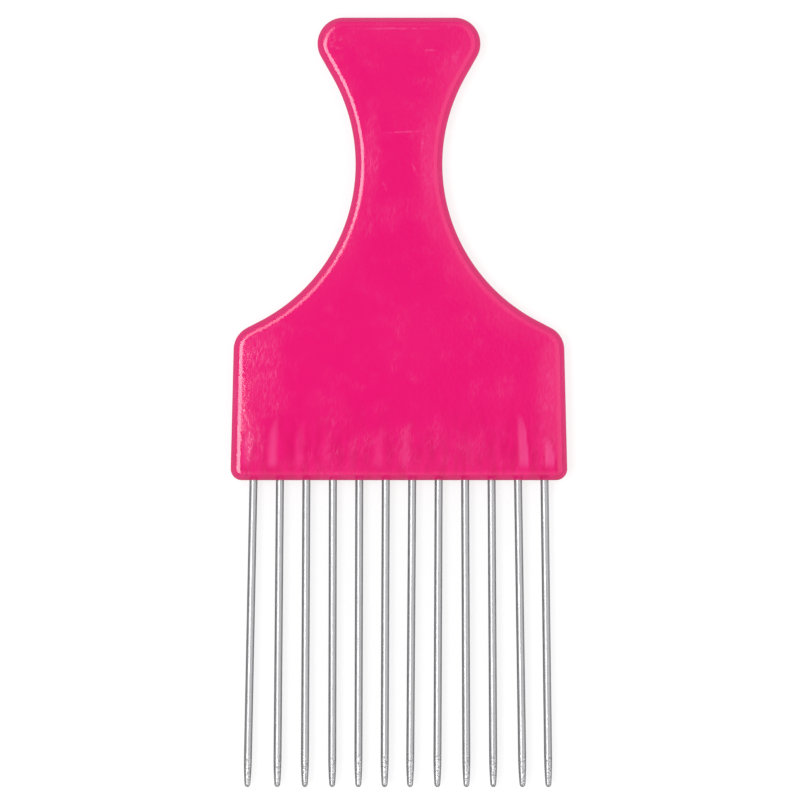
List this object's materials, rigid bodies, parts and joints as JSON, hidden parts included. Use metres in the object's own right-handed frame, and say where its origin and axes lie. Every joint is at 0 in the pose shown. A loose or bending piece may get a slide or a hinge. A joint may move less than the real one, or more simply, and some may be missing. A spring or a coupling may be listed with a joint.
{
  "type": "hair lifting comb",
  "caption": "Flat lifting comb for hair: a waisted, gloss moulded plastic handle that holds one row of long straight steel wire tines with rounded tips.",
  "frame": {"origin": "centre of the comb's footprint on the surface that it lies on, under its back face", "axes": "+Z out of the front face, +Y from the tips of the tines to the top of the handle, +X across the row of tines"},
  "size_m": [0.0778, 0.178, 0.007],
  "materials": {
    "handle": "glossy moulded hot pink plastic, faintly rippled over the buried wires and lightly scuffed",
    "tine_steel": "bright drawn steel wire, polished along its length, with ground tips"
  },
  "bodies": {
    "root": {"handle": "handle", "tine_01": "tine_steel", "tine_02": "tine_steel", "tine_03": "tine_steel", "tine_04": "tine_steel", "tine_05": "tine_steel", "tine_06": "tine_steel", "tine_07": "tine_steel", "tine_08": "tine_steel", "tine_09": "tine_steel", "tine_10": "tine_steel", "tine_11": "tine_steel", "tine_12": "tine_steel"}
  },
  "joints": []
}
